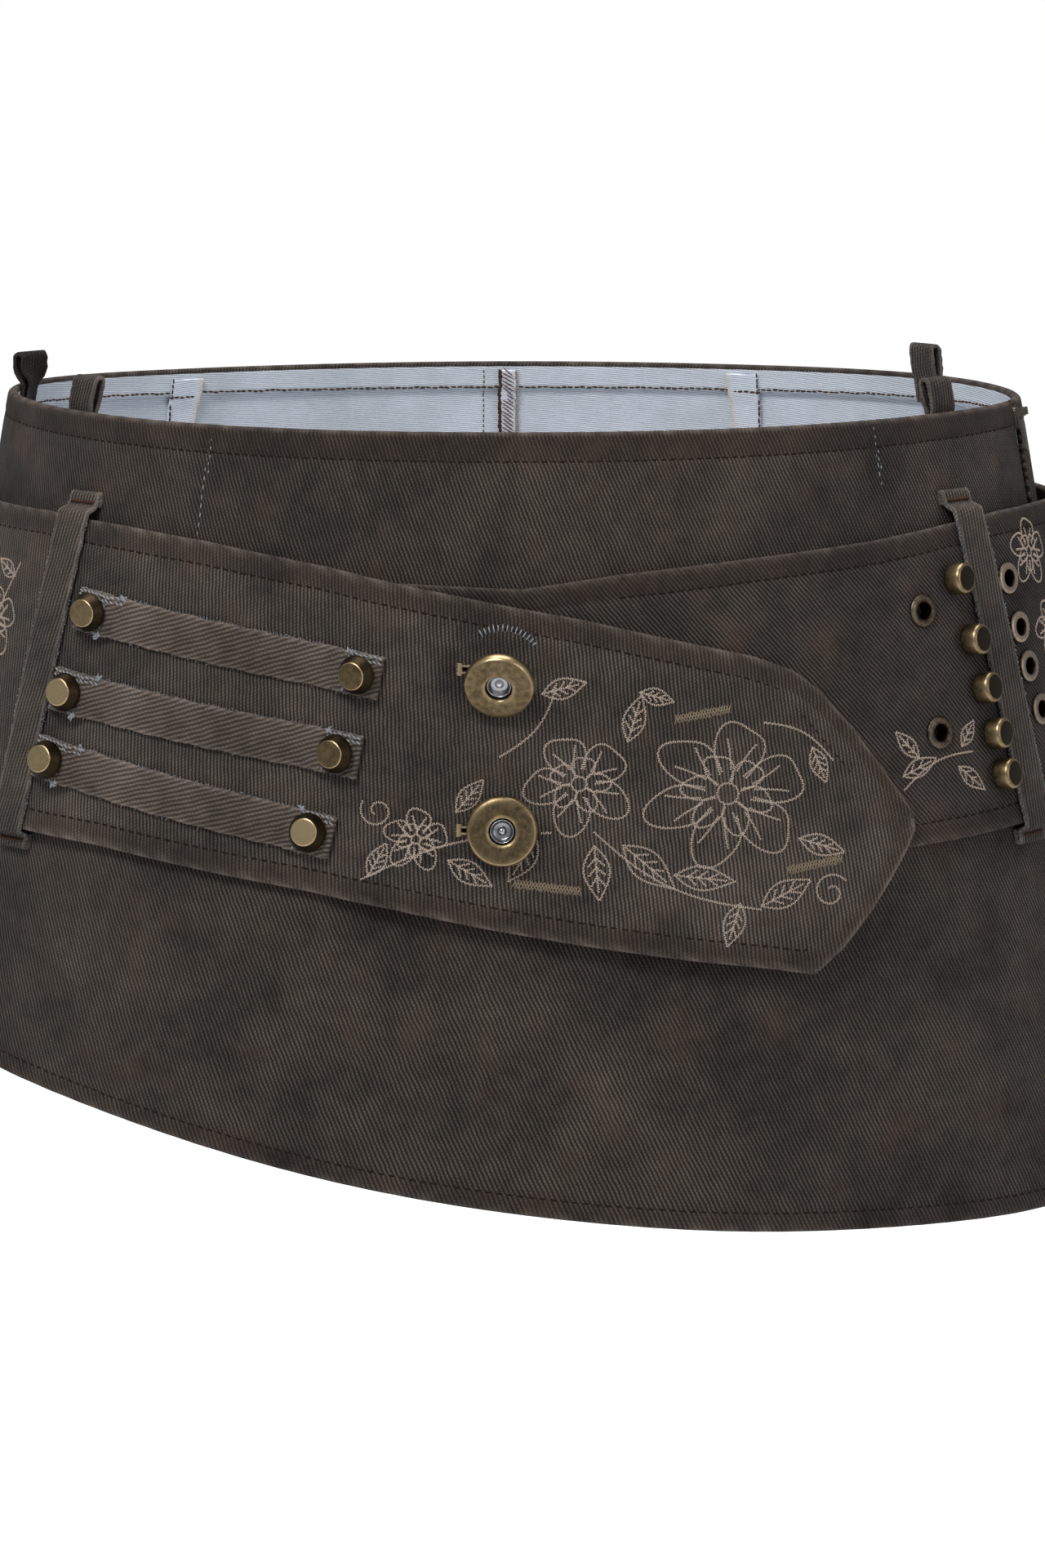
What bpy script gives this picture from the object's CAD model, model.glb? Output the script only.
import math
import random

import bmesh
import bpy
from mathutils import Matrix, Vector


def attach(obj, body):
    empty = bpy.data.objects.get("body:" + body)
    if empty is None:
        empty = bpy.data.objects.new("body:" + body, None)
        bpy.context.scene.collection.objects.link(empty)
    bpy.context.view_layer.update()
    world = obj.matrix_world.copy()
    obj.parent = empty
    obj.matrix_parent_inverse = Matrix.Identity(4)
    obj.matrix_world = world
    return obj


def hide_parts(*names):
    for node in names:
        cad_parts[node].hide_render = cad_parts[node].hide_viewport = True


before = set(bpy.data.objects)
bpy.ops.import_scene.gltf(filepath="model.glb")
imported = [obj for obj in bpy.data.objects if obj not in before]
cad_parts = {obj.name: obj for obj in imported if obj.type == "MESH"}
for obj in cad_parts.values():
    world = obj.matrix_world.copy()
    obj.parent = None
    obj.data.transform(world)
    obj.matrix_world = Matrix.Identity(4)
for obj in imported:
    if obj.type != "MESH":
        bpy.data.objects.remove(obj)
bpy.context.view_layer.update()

# The skirt's own sizes, in millimetres, as its solids have them
MM = 0.001
CLOTH = 1.4
SEAM_GAP = 0.3
TAPE = 1.2
BELT = 2.4
WAIST_TURN = 8.0
HEM_TURN = 7.0
BAND_FACE = -2.0 * CLOTH - SEAM_GAP
LEFT_SEAM = -94.0
ZIP_FRONT_EDGE = 75.2
ZIP_BACK_EDGE = 78.2
ZIP_MIDDLE = 76.7
ZIP_END = 160.0
# girth from the centre front, top edge, bottom edge
FLAP_EDGES = (
    (-228.0, -27.5, -121.0),
    (-196.0, -27.3, -121.3),
    (-160.0, -27.6, -121.7),
    (-126.0, -30.0, -123.6),
    (-98.0, -32.8, -127.3),
    (-60.0, -38.5, -132.5),
    (-38.0, -42.5, -136.0),
    (-9.0, -48.0, -142.0),
    (18.0, -53.0, -147.2),
    (45.0, -59.4, -152.0),
    (68.0, -64.8, -155.5),
    (79.8, -69.4, -157.8),
    (88.0, -76.0, -151.1),
    (97.0, -87.0, -141.1),
    (105.0, -98.5, -130.9),
    (110.0, -106.8, -124.2),
    (114.0, -113.2, -118.0),
)
# girth from the centre front, top edge, bottom edge
UNDER_EDGES = (
    (-37.0, -43.0, -130.0),
    (0.0, -44.5, -128.0),
    (30.0, -40.5, -126.0),
    (70.0, -37.0, -125.0),
    (113.0, -33.7, -124.3),
    (140.0, -30.8, -123.0),
    (165.0, -28.8, -121.4),
    (190.0, -28.4, -120.8),
    (227.0, -29.0, -121.0),
)
# girth from the centre front, top edge, bottom edge
BACK_EDGES = (
    (227.3, -29.0, -121.0),
    (455.0, -30.0, -122.0),
    (682.2, -27.5, -121.0),
)
LOOP_TOP = -21.5
LOOP_BOTTOM = -128.0
LOOP_FOLD = 4.0
LOOP_WIDTH = 12.0
# name, girth at the top, girth at the bottom
LONG_LOOPS = (
    ("belt_loop_front_left", -145.0, -159.5),
    ("belt_loop_front_right", 147.5, 164.5),
    ("belt_loop_back_left", -268.0, -268.0),
    ("belt_loop_back_right", 299.0, 299.0),
)
# name, angle, lean outwards and along the girth at the top, turn of the top in degrees
WAIST_LOOPS = (
    ("waist_loop_front_left", -58.9, 1.0, 2.0, 0.0),
    ("waist_loop_front_right", 56.5, 0.6, -1.2, 0.0),
    ("waist_loop_back_left", -96.0, 1.4, 0.0, 34.0),
    ("waist_loop_back_right", 119.3, 0.8, 0.4, 0.0),
)
STRAP_WIDTH = 12.2
STRAP_FOLD = 11.0
# name, girth and height of the left end, girth and height of the right end
STRAPS = (
    ("strap_top", -138.6, -54.5, -40.3, -69.6),
    ("strap_middle", -144.6, -78.6, -45.6, -92.6),
    ("strap_bottom", -148.4, -98.8, -52.8, -116.3),
)
# name, girth, height, lean sideways, lean down, how far the cap is rubbed bright
STRAP_STUDS = (
    ("stud_top_left", -132.8, -55.0, 5.0, 7.0, 0.25),
    ("stud_top_right", -46.2, -68.4, -8.0, 8.0, 0.0),
    ("stud_middle_left", -138.6, -79.2, 6.0, 0.0, 0.9),
    ("stud_middle_right", -51.8, -91.6, -6.0, 2.0, 0.05),
    ("stud_bottom_left", -142.6, -99.6, 8.0, -6.0, 0.6),
    ("stud_bottom_right", -59.0, -114.8, -2.0, -3.0, 0.9),
)
# name, girth, height, lean sideways, lean down, how far the cap is rubbed bright
BELT_STUDS = (
    ("stud_column_1", 138.4, -46.6, 12.0, 1.0, -0.25),
    ("stud_column_2", 142.2, -65.0, 11.0, 0.0, -0.3),
    ("stud_column_3", 144.6, -79.6, 11.0, -2.0, -0.3),
    ("stud_column_4", 146.8, -93.3, 12.0, 1.0, -0.3),
    ("stud_column_5", 148.7, -105.7, 11.0, -1.0, -0.25),
)
# name, girth, height, how far the rim is rubbed bright
EYELETS = (
    ("eyelet_left_top", 126.5, -55.2, 0.0),
    ("eyelet_left_bottom", 128.0, -91.3, 0.0),
    ("eyelet_right_1", 163.8, -48.7, 0.55),
    ("eyelet_right_2", 166.4, -63.6, 0.6),
    ("eyelet_right_3", 168.6, -75.6, 0.45),
    ("eyelet_right_4", 172.2, -89.0, 0.4),
)
# name, girth, height, lean down, roll, how far it stands off the flap
BUTTONS = (
    ("button_upper", -5.6, -67.0, 31.0, 8.0, 6.4),
    ("button_lower", -5.3, -113.3, 0.0, 0.0, 1.0),
)
# name, angle at the waist and at the tip, height of the tip, width of the fold, way it is pressed
DARTS = (
    ("dart_front_left", -35.4, -36.8, -86.0, 8.0, 1.0),
    ("dart_front_right", 41.6, 45.6, -88.0, 8.0, -1.0),
    ("dart_back_left", -135.0, -136.5, -90.0, 13.0, -1.0),
    ("dart_back_right", 148.6, 149.6, -90.0, 11.5, 1.0),
)
STITCH_INSET = 6.5
BUTTON_HOLE_REACH = 12.0
# half the gap between two panels that are sewn together
PANEL_GAP = 0.005
# degrees that each side of the zip's opening turns to close it below the zip
CLOSING_TURN = 1.5
# mean width of a skirt panel over its width at the height where girths are measured
# pitch, length, width and height of a belt topstitch
BELT_STITCH = (3.0, 2.4, 0.62, 0.34)
SEED = random.Random(11)


# Form of the worn skirt

def smooth(value, low, high):
    step = min(max((value - low) / (high - low), 0.0), 1.0)
    return step * step * (3.0 - 2.0 * step)


def section(height):
    drop = -height
    width = 156.0 + 0.18 * drop - 1.8e-4 * drop * drop
    depth = 108.0 + 0.14 * drop - 1.4e-4 * drop * drop
    return width, depth


def girth_table():
    width, depth = section(-80.0)
    angles = [math.radians(-450.0 + 0.25 * index) for index in range(3601)]
    girths = [0.0]
    for start, end in zip(angles, angles[1:]):
        across = width * (math.sin(end) - math.sin(start))
        deep = depth * (math.cos(end) - math.cos(start))
        girths.append(girths[-1] + math.hypot(across, deep))
    middle = girths[1800]
    return angles, [girth - middle for girth in girths]


ANGLES, GIRTHS = girth_table()
GIRTH_ROUND = GIRTHS[2520] - GIRTHS[1080]


def lookup(value, keys, values):
    if value <= keys[0]:
        return values[0]
    if value >= keys[-1]:
        return values[-1]
    low, high = 0, len(keys) - 1
    while high - low > 1:
        middle = (low + high) // 2
        if keys[middle] <= value:
            low = middle
        else:
            high = middle
    share = (value - keys[low]) / (keys[high] - keys[low])
    return values[low] + (values[high] - values[low]) * share


def angle_at(girth):
    return lookup(girth, GIRTHS, ANGLES)


def girth_at(angle):
    return lookup(angle, ANGLES, GIRTHS)


def ripple(angle, height):
    depth = 1.3 * smooth(-height, 105.0, 235.0)
    return depth * (math.cos(6.0 * angle + 0.6) + 0.6 * math.sin(9.0 * angle - 1.0))


def place(angle, height, out):
    width, depth = section(height)
    normal = Vector((math.sin(angle) / width, -math.cos(angle) / depth, 0.0)).normalized()
    point = Vector((width * math.sin(angle), -depth * math.cos(angle), height))
    return (point + normal * (out + ripple(angle, height))) * MM


def waist_edge(angle):
    dip = 2.2 * max(math.sin(angle), 0.0) ** 8
    return -0.5 + 2.5 * math.sin(angle) ** 4 + 0.75 * (1.0 - math.cos(angle)) - dip


def hem_edge(angle):
    return -(212.9 + 13.0 * math.cos(angle) ** 2 + 25.6 * math.sin(angle))


def under_middle(girth):
    return 0.8 + 3.0 * math.sin(angle_at(girth)) ** 4 + 0.5 * BELT


def flap_middle(girth, height):
    over = smooth(girth, -61.0, -39.0)
    lift = 4.0 * smooth(girth, 40.0, 112.0) * smooth(-height, 95.0, 158.0)
    return under_middle(girth) + over * (BELT + 0.5) + lift


def skirt_face(girth, height, out=0.0):
    return place(angle_at(girth), height, out)


def under_face(girth, height, out=0.0):
    return place(angle_at(girth), height, under_middle(girth) + 0.5 * BELT + out)


def flap_face(girth, height, out=0.0):
    return place(angle_at(girth), height, flap_middle(girth, height) + 0.5 * BELT + out)


def frame_on(face, girth, height, out):
    """X along the girth, Y up the cloth and Z off it, at a point of a face."""
    along = face(girth + 0.8, height, out) - face(girth - 0.8, height, out)
    upward = face(girth, height + 0.8, out) - face(girth, height - 0.8, out)
    normal = along.cross(upward).normalized()
    side = upward.cross(normal).normalized()
    basis = Matrix((side, normal.cross(side), normal)).transposed().to_4x4()
    return Matrix.Translation(face(girth, height, out)) @ basis


# Shader groups

def new_group(name, inputs, outputs):
    group = bpy.data.node_groups.new(name, "ShaderNodeTree")
    for label, kind, value in inputs:
        socket = group.interface.new_socket(label, in_out="INPUT", socket_type=kind)
        if value is not None:
            socket.default_value = value
    for label, kind in outputs:
        group.interface.new_socket(label, in_out="OUTPUT", socket_type=kind)
    start = group.nodes.new("NodeGroupInput")
    end = group.nodes.new("NodeGroupOutput")
    return group, start, end


def add_math(tree, operation, first, second=None, clamp=False):
    node = tree.nodes.new("ShaderNodeMath")
    node.operation = operation
    node.use_clamp = clamp
    for socket, value in zip(node.inputs, (first, second)):
        if value is None:
            continue
        if isinstance(value, (int, float)):
            socket.default_value = value
        else:
            tree.links.new(value, socket)
    return node.outputs[0]


def add_noise(tree, vector, scale, detail=3.0, rough=0.55):
    node = tree.nodes.new("ShaderNodeTexNoise")
    node.inputs["Scale"].default_value = scale
    node.inputs["Detail"].default_value = detail
    node.inputs["Roughness"].default_value = rough
    tree.links.new(vector, node.inputs["Vector"])
    return node.outputs["Fac"]


def add_range(tree, value, low, high, new_low, new_high):
    node = tree.nodes.new("ShaderNodeMapRange")
    for label, number in zip(("From Min", "From Max", "To Min", "To Max"), (low, high, new_low, new_high)):
        node.inputs[label].default_value = number
    tree.links.new(value, node.inputs["Value"])
    return node.outputs["Result"]


def add_mix(tree, share, first, second, blend="MIX"):
    node = tree.nodes.new("ShaderNodeMix")
    node.data_type = "RGBA"
    node.blend_type = blend
    for socket, value in ((node.inputs[0], share), (node.inputs[6], first), (node.inputs[7], second)):
        if isinstance(value, (int, float)):
            socket.default_value = value
        elif isinstance(value, tuple):
            socket.default_value = (*value, 1.0)
        else:
            tree.links.new(value, socket)
    return node.outputs[2]


def make_twill_group():
    """Slanting twill ribs on a cloth's own map in metres: their rise, and a share of thread."""
    inputs = (
        ("Map", "NodeSocketVector", None),
        ("Ribs per metre", "NodeSocketFloat", 870.0),
        ("Slant", "NodeSocketFloat", math.radians(-67.0)),
        ("Unevenness", "NodeSocketFloat", 0.35),
    )
    outputs = (("Rib", "NodeSocketFloat"), ("Thread", "NodeSocketFloat"))
    tree, start, end = new_group("twill weave", inputs, outputs)
    turn = tree.nodes.new("ShaderNodeVectorRotate")
    turn.rotation_type = "Z_AXIS"
    tree.links.new(start.outputs["Map"], turn.inputs["Vector"])
    back = add_math(tree, "MULTIPLY", start.outputs["Slant"], -1.0)
    tree.links.new(back, turn.inputs["Angle"])
    parts = tree.nodes.new("ShaderNodeSeparateXYZ")
    tree.links.new(turn.outputs["Vector"], parts.inputs["Vector"])
    drift = add_noise(tree, start.outputs["Map"], 140.0, 2.0)
    drift = add_math(tree, "MULTIPLY", add_math(tree, "SUBTRACT", drift, 0.5), start.outputs["Unevenness"])
    across = add_math(tree, "MULTIPLY", parts.outputs["Y"], start.outputs["Ribs per metre"])
    across = add_math(tree, "ADD", across, add_math(tree, "MULTIPLY", drift, 2.4))
    wave = add_math(tree, "SINE", add_math(tree, "MULTIPLY", across, math.tau))
    rib = add_range(tree, wave, -0.85, 0.75, 0.0, 1.0)
    step = add_math(tree, "MULTIPLY", add_math(tree, "FLOOR", across), 0.37)
    along = add_math(tree, "MULTIPLY", parts.outputs["X"], start.outputs["Ribs per metre"])
    along = add_math(tree, "ADD", add_math(tree, "MULTIPLY", along, 1.15), step)
    thread = add_math(tree, "SINE", add_math(tree, "MULTIPLY", along, math.tau))
    tree.links.new(rib, end.inputs["Rib"])
    tree.links.new(add_range(tree, thread, -1.0, 1.0, 0.0, 1.0), end.inputs["Thread"])
    return tree


def make_wash_group():
    """Uneven wash: broad pale and dark clouds, finer mottling and scattered lint."""
    inputs = (("Map", "NodeSocketVector", None), ("Strength", "NodeSocketFloat", 1.0))
    outputs = (("Shade", "NodeSocketFloat"), ("Lint", "NodeSocketFloat"), ("Rust", "NodeSocketFloat"))
    tree, start, end = new_group("garment wash", inputs, outputs)
    vector = start.outputs["Map"]
    broad = add_math(tree, "SUBTRACT", add_noise(tree, vector, 20.0, 3.0), 0.5)
    cloud = add_math(tree, "SUBTRACT", add_noise(tree, vector, 62.0, 3.0, 0.6), 0.5)
    fine = add_math(tree, "SUBTRACT", add_noise(tree, vector, 210.0, 4.0, 0.65), 0.5)
    wide = add_math(tree, "MULTIPLY", broad, 2.0)
    tone = add_math(tree, "ADD", wide, add_math(tree, "MULTIPLY", fine, 1.0))
    tone = add_math(tree, "ADD", tone, add_math(tree, "MULTIPLY", cloud, 1.1))
    tone = add_math(tree, "MULTIPLY", tone, start.outputs["Strength"])
    tree.links.new(add_math(tree, "ADD", tone, 1.0), end.inputs["Shade"])
    lint = add_range(tree, add_noise(tree, vector, 950.0, 2.0, 0.7), 0.66, 0.78, 0.0, 1.0)
    tree.links.new(lint, end.inputs["Lint"])
    rust = add_range(tree, add_noise(tree, vector, 60.0, 3.0), 0.55, 0.75, 0.0, 1.0)
    tree.links.new(rust, end.inputs["Rust"])
    return tree


def make_patina_group():
    """Brass darkened in its hollows: patches, and fine scratches."""
    inputs = (("Map", "NodeSocketVector", None), ("Rub", "NodeSocketFloat", 0.0))
    outputs = (("Bright", "NodeSocketFloat"), ("Scratch", "NodeSocketFloat"))
    tree, start, end = new_group("metal patina", inputs, outputs)
    patch = add_noise(tree, start.outputs["Map"], 620.0, 4.0, 0.6)
    grain = add_noise(tree, start.outputs["Map"], 4200.0, 3.0, 0.7)
    bright = add_math(tree, "ADD", add_range(tree, patch, 0.3, 0.75, 0.08, 0.34), start.outputs["Rub"])
    tree.links.new(add_math(tree, "MINIMUM", bright, 1.0), end.inputs["Bright"])
    tree.links.new(grain, end.inputs["Scratch"])
    return tree


TWILL = make_twill_group()
WASH = make_wash_group()
PATINA = make_patina_group()


def place_group(tree, group, links, values):
    node = tree.nodes.new("ShaderNodeGroup")
    node.node_tree = group
    for label, socket in links.items():
        tree.links.new(socket, node.inputs[label])
    for label, value in values.items():
        node.inputs[label].default_value = value
    return node


def new_material(name):
    material = bpy.data.materials.new(name)
    material.use_nodes = True
    tree = material.node_tree
    return material, tree, tree.nodes["Principled BSDF"]


def cloth_map(tree):
    node = tree.nodes.new("ShaderNodeUVMap")
    node.uv_map = "cloth"
    return node.outputs["UV"]


def edge_value(tree, name):
    node = tree.nodes.new("ShaderNodeAttribute")
    node.attribute_type = "GEOMETRY"
    node.attribute_name = name
    return node.outputs["Fac"]


def add_shade(tree, colour, shade):
    """The colour times one shade."""
    node = tree.nodes.new("ShaderNodeCombineColor")
    for label in ("Red", "Green", "Blue"):
        tree.links.new(shade, node.inputs[label])
    return add_mix(tree, 1.0, colour, node.outputs["Color"], "MULTIPLY")


def thread_share(tree, weave, low):
    """Ribs broken up by their threads, which fall to a low share."""
    thread = add_range(tree, weave.outputs["Thread"], 0.0, 1.0, low, 1.0)
    return add_math(tree, "MULTIPLY", weave.outputs["Rib"], thread)


def add_bump(tree, shader, height, distance):
    node = tree.nodes.new("ShaderNodeBump")
    node.inputs["Distance"].default_value = distance
    node.inputs["Strength"].default_value = 1.0
    tree.links.new(height, node.inputs["Height"])
    tree.links.new(node.outputs["Normal"], shader.inputs["Normal"])


def twill_material(name, valley, ridge, slant, ribs=870.0, worn=0.45):
    """Washed twill: ribs with dark valleys, clouds of wash, lint, and edges rubbed pale."""
    material, tree, shader = new_material(name)
    vector = cloth_map(tree)
    values = {"Ribs per metre": ribs, "Slant": math.radians(slant), "Unevenness": 0.35}
    weave = place_group(tree, TWILL, {"Map": vector}, values)
    tone = place_group(tree, WASH, {"Map": vector}, {})
    colour = add_mix(tree, thread_share(tree, weave, 0.62), valley, ridge)
    rust = add_math(tree, "MULTIPLY", tone.outputs["Rust"], 0.5)
    colour = add_mix(tree, rust, colour, (0.056, 0.035, 0.025))
    dyed = add_math(tree, "MULTIPLY", edge_value(tree, "rim"), 0.45)
    colour = add_mix(tree, dyed, colour, (0.028, 0.018, 0.013))
    lint = add_math(tree, "MULTIPLY", tone.outputs["Lint"], 0.12)
    colour = add_mix(tree, lint, colour, (0.22, 0.20, 0.19))
    rub = add_math(tree, "MULTIPLY", edge_value(tree, "rubbed"), worn)
    colour = add_mix(tree, rub, colour, tuple(2.1 * value for value in ridge))
    tree.links.new(add_shade(tree, colour, tone.outputs["Shade"]), shader.inputs["Base Color"])
    shader.inputs["Roughness"].default_value = 0.92
    shader.inputs["Sheen Weight"].default_value = 0.03
    shader.inputs["Sheen Roughness"].default_value = 0.6
    shader.inputs["Specular IOR Level"].default_value = 0.15
    thread = add_math(tree, "MULTIPLY", weave.outputs["Thread"], 0.35)
    height = add_math(tree, "ADD", weave.outputs["Rib"], thread)
    add_bump(tree, shader, height, 0.0003)
    return material


def inside_material():
    """Pale reverse of the twill: close level picks, specks of the dark face, cream where it is rubbed."""
    material, tree, shader = new_material("inside cloth")
    vector = cloth_map(tree)
    values = {"Ribs per metre": 1500.0, "Slant": math.radians(4.0), "Unevenness": 0.25}
    weave = place_group(tree, TWILL, {"Map": vector}, values)
    tone = place_group(tree, WASH, {"Map": vector}, {"Strength": 0.22})
    colour = add_mix(tree, thread_share(tree, weave, 0.6), (0.46, 0.50, 0.56), (0.80, 0.835, 0.89))
    specks = add_range(tree, add_noise(tree, vector, 1400.0, 2.0), 0.6, 0.72, 0.0, 0.35)
    colour = add_mix(tree, specks, colour, (0.30, 0.33, 0.38))
    rub = add_math(tree, "MULTIPLY", edge_value(tree, "rubbed"), 0.8)
    colour = add_mix(tree, rub, colour, (0.62, 0.56, 0.44))
    tree.links.new(add_shade(tree, colour, tone.outputs["Shade"]), shader.inputs["Base Color"])
    shader.inputs["Roughness"].default_value = 0.95
    shader.inputs["Specular IOR Level"].default_value = 0.2
    add_bump(tree, shader, weave.outputs["Rib"], 0.00012)
    return material


def thread_material(name, dark, light, gloss=0.55):
    """Twisted sewing thread, with its ply in fine stripes."""
    material, tree, shader = new_material(name)
    place_at = tree.nodes.new("ShaderNodeTexCoord").outputs["Object"]
    tone = add_noise(tree, place_at, 900.0, 3.0)
    ply = add_noise(tree, place_at, 5200.0, 2.0)
    fine = add_math(tree, "MULTIPLY", ply, 0.5)
    share = add_math(tree, "ADD", add_math(tree, "MULTIPLY", tone, 0.6), fine, True)
    tree.links.new(add_mix(tree, share, dark, light), shader.inputs["Base Color"])
    shader.inputs["Roughness"].default_value = gloss
    shader.inputs["Specular IOR Level"].default_value = 0.12
    add_bump(tree, shader, ply, 0.00008)
    return material


def metal_material(name, dull, bright, rough_low, rough_high):
    """Aged metal: dull in its hollows, bright and smooth where it is rubbed."""
    material, tree, shader = new_material(name)
    place_at = tree.nodes.new("ShaderNodeTexCoord").outputs["Object"]
    patina = place_group(tree, PATINA, {"Map": place_at, "Rub": edge_value(tree, "rubbed")}, {})
    tree.links.new(add_mix(tree, patina.outputs["Bright"], dull, bright), shader.inputs["Base Color"])
    shader.inputs["Metallic"].default_value = 1.0
    rough = add_range(tree, patina.outputs["Bright"], 0.0, 1.0, rough_high, rough_low)
    rough = add_math(tree, "ADD", rough, add_range(tree, patina.outputs["Scratch"], 0.3, 0.7, -0.04, 0.05))
    tree.links.new(rough, shader.inputs["Roughness"])
    add_bump(tree, shader, patina.outputs["Scratch"], 0.00002)
    return material


SKIRT_TWILL = twill_material("skirt twill", (0.014, 0.011, 0.008), (0.092, 0.073, 0.061), -67.0)
BELT_TWILL = twill_material("belt twill", (0.019, 0.015, 0.012), (0.124, 0.101, 0.084), -86.0, 900.0)
UNDER_TWILL = twill_material("underlap twill", (0.012, 0.009, 0.007), (0.082, 0.066, 0.055), -50.0, 900.0)
STRAP_TWILL = twill_material("strap twill", (0.044, 0.034, 0.027), (0.146, 0.118, 0.098), 26.0, 760.0, 0.25)
LOOP_SHADE = twill_material(
    "loop shade twill", (0.006, 0.004, 0.003), (0.026, 0.021, 0.018), 84.0, 800.0, 0.3)
LOOP_TWILL = twill_material("loop twill", (0.024, 0.019, 0.015), (0.120, 0.098, 0.082), 84.0, 800.0, 0.4)
INSIDE = inside_material()
DARK_THREAD = thread_material("dark brown thread", (0.008, 0.004, 0.003), (0.026, 0.014, 0.009), 0.8)
INNER_THREAD = thread_material("inner brown thread", (0.030, 0.014, 0.007), (0.085, 0.045, 0.026), 0.8)
PALE_THREAD = thread_material("pale thread", (0.17, 0.18, 0.19), (0.42, 0.43, 0.44), 0.8)
RUST_THREAD = thread_material("rust thread", (0.085, 0.032, 0.016), (0.20, 0.085, 0.045))
TAN_THREAD = thread_material("tan thread", (0.25, 0.17, 0.10), (0.45, 0.34, 0.22))
SATIN_THREAD = thread_material("satin thread", (0.12, 0.092, 0.062), (0.27, 0.21, 0.145), 0.5)
BEIGE_THREAD = thread_material("beige thread", (0.26, 0.20, 0.155), (0.56, 0.46, 0.38), 0.6)
FRAY_THREAD = thread_material("frayed thread", (0.12, 0.125, 0.135), (0.40, 0.42, 0.45), 0.9)
BRASS = metal_material("antique brass", (0.040, 0.028, 0.015), (0.62, 0.465, 0.25), 0.27, 0.42)
EYELET_BRASS = metal_material("eyelet brass", (0.030, 0.019, 0.012), (0.62, 0.49, 0.37), 0.3, 0.45)
NICKEL = metal_material("nickel", (0.20, 0.20, 0.21), (0.70, 0.70, 0.72), 0.10, 0.22)
ZIP_METAL = metal_material("zip metal", (0.10, 0.085, 0.065), (0.45, 0.40, 0.32), 0.28, 0.45)
ZIP_TAPE = twill_material("zip tape weave", (0.012, 0.010, 0.009), (0.035, 0.029, 0.025), 90.0, 1400.0, 0.2)


# Pieces

def link_mesh(name, bm, materials, node=None):
    mesh = bpy.data.meshes.new(name)
    bm.to_mesh(mesh)
    bm.free()
    for polygon in mesh.polygons:
        polygon.use_smooth = True
    piece = bpy.data.objects.new(name, mesh)
    for material in materials:
        mesh.materials.append(material)
    bpy.context.scene.collection.objects.link(piece)
    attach(piece, "garment")
    if node:
        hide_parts(node)
    return piece


def steps(start, end, step):
    count = max(1, math.ceil(abs(end - start) / step - 1e-6))
    return [start + (end - start) * index / count for index in range(count + 1)]


def fold_arc(count=6):
    turns = [math.pi * index / count for index in range(count + 1)]
    return [(math.cos(turn), math.sin(turn)) for turn in turns]


def sheet(name, columns, rows, point, thick, materials, node, bevel=0.0, inner_rows=()):
    """A grid laid on a layer's middle by point(column, row), then given its thickness.

    point gives the place, the cloth map, and the rubbed and rim shares. inner_rows lists the
    rows whose faces show the second material.
    """
    across = len(columns) - 1
    down = len(rows) - 1
    bm = bmesh.new()
    bmesh.ops.create_grid(bm, x_segments=across, y_segments=down, size=0.5)
    layer = bm.loops.layers.uv.new("cloth")
    rubbed = bm.verts.layers.float.new("rubbed")
    rim = bm.verts.layers.float.new("rim")
    spots = {}
    for face in bm.faces:
        face.material_index = int((face.calc_center_median().y + 0.5) * down) in inner_rows
    for vert in bm.verts:
        column = columns[round((vert.co.x + 0.5) * across)]
        row = rows[round((vert.co.y + 0.5) * down)]
        vert.co, spot, vert[rubbed], vert[rim] = point(column, row)
        spots[vert] = (spot[0] * MM, spot[1] * MM)
    for face in bm.faces:
        for loop in face.loops:
            loop[layer].uv = spots[loop.vert]
    bm.normal_update()
    outside = 0.0
    for face in bm.faces:
        middle = face.calc_center_median()
        outside += face.normal.x * middle.x + face.normal.y * middle.y
    if outside < 0.0:
        bmesh.ops.reverse_faces(bm, faces=bm.faces)
    piece = link_mesh(name, bm, materials, node)
    solidify = piece.modifiers.new("thickness", "SOLIDIFY")
    solidify.thickness = thick * MM
    solidify.offset = 0.0
    solidify.use_even_offset = True
    solidify.material_offset = 1 if len(materials) > 1 else 0
    if bevel:
        edge = piece.modifiers.new("rounded edge", "BEVEL")
        edge.width = bevel * MM
        edge.segments = 3
        edge.limit_method = "ANGLE"
        edge.angle_limit = math.radians(50.0)
    return piece


def panel_rows():
    """Rows of a skirt panel: turned-in waist band, fold, wall, fold, turned-in hem."""
    half = 0.5 * (CLOTH + SEAM_GAP)
    face = -0.5 * CLOTH
    inner = face - 2.0 * half
    rows = [("waist", inner, -WAIST_TURN * share) for share in (1.0, 0.8, 0.6, 0.4, 0.2)]
    for across, up in fold_arc():
        rows.append(("waist", face - half - half * across, -half + half * up))
    drops = (1.8, 3.0, 4.4, 5.6, 6.4, 7.0, 7.6, 8.4, 10.0, 13.0)
    rows += [("waist", face, -drop) for drop in drops]
    rows += [("wall", face, index / 28.0) for index in range(1, 28)]
    rows += [("hem", face, rise) for rise in (10.0, 7.6, 6.2, 5.4, 4.8, 4.2, 3.4, 2.2)]
    for across, up in fold_arc():
        rows.append(("hem", face - half + half * across, half - half * up))
    rows += [("hem", inner, HEM_TURN * share) for share in (0.3, 0.6, 1.0)]
    return rows


def waist_seam(angle):
    """How far below the waist edge its stitching runs."""
    return 7.0 + 0.7 * math.cos(2.0 * angle)


def trough(distance, width):
    return math.exp(-(distance / width) ** 2)


def dart_middle(dart, height):
    """Girth of a dart's seam at a height."""
    top = girth_at(math.radians(dart[1]))
    tip = girth_at(math.radians(dart[2]))
    return top + (tip - top) * min(max(-height / -dart[3], 0.0), 1.0)


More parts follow.
